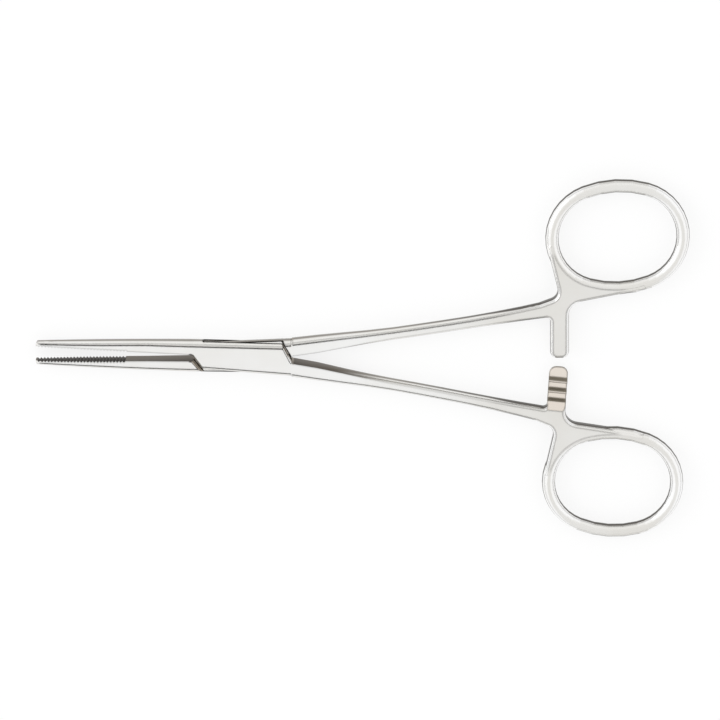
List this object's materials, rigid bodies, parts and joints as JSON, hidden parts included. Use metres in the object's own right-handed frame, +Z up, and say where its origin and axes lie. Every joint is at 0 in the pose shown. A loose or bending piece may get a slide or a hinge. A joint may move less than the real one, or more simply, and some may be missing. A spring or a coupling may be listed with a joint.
{
  "type": "hemostat forceps",
  "caption": "Straight haemostatic forceps in stainless steel with a box lock, half-serrated jaws, a finger ratchet and two oval finger rings, lying slightly open.",
  "frame": {"origin": "centre of the box lock's pivot axis at the flat underside of the box, the level of the surface that the forceps lies on", "axes": "+X along the forceps from the pivot towards the finger rings, so the jaw tips point to -X; +Y towards the ring of male_half; +Z up along the pivot axis"},
  "size_m": [0.1395, 0.081, 0.004],
  "materials": {
    "steel_female": "satin ground faces with polished rounded sides",
    "steel_male": "satin ground faces with polished rounded sides",
    "steel_pin": "satin, ground flush with the box"
  },
  "bodies": {
    "female_body": {"female_half": "steel_female", "pivot_pin": "steel_pin"},
    "male_body": {"male_half": "steel_male"}
  },
  "joints": [
    {"name": "box_lock", "type": "hinge", "parent": "female_body", "child": "male_body", "pos_m": [0, 0, 0], "axis": [0, 0, 1], "range_deg": [-4, 50]}
  ]
}
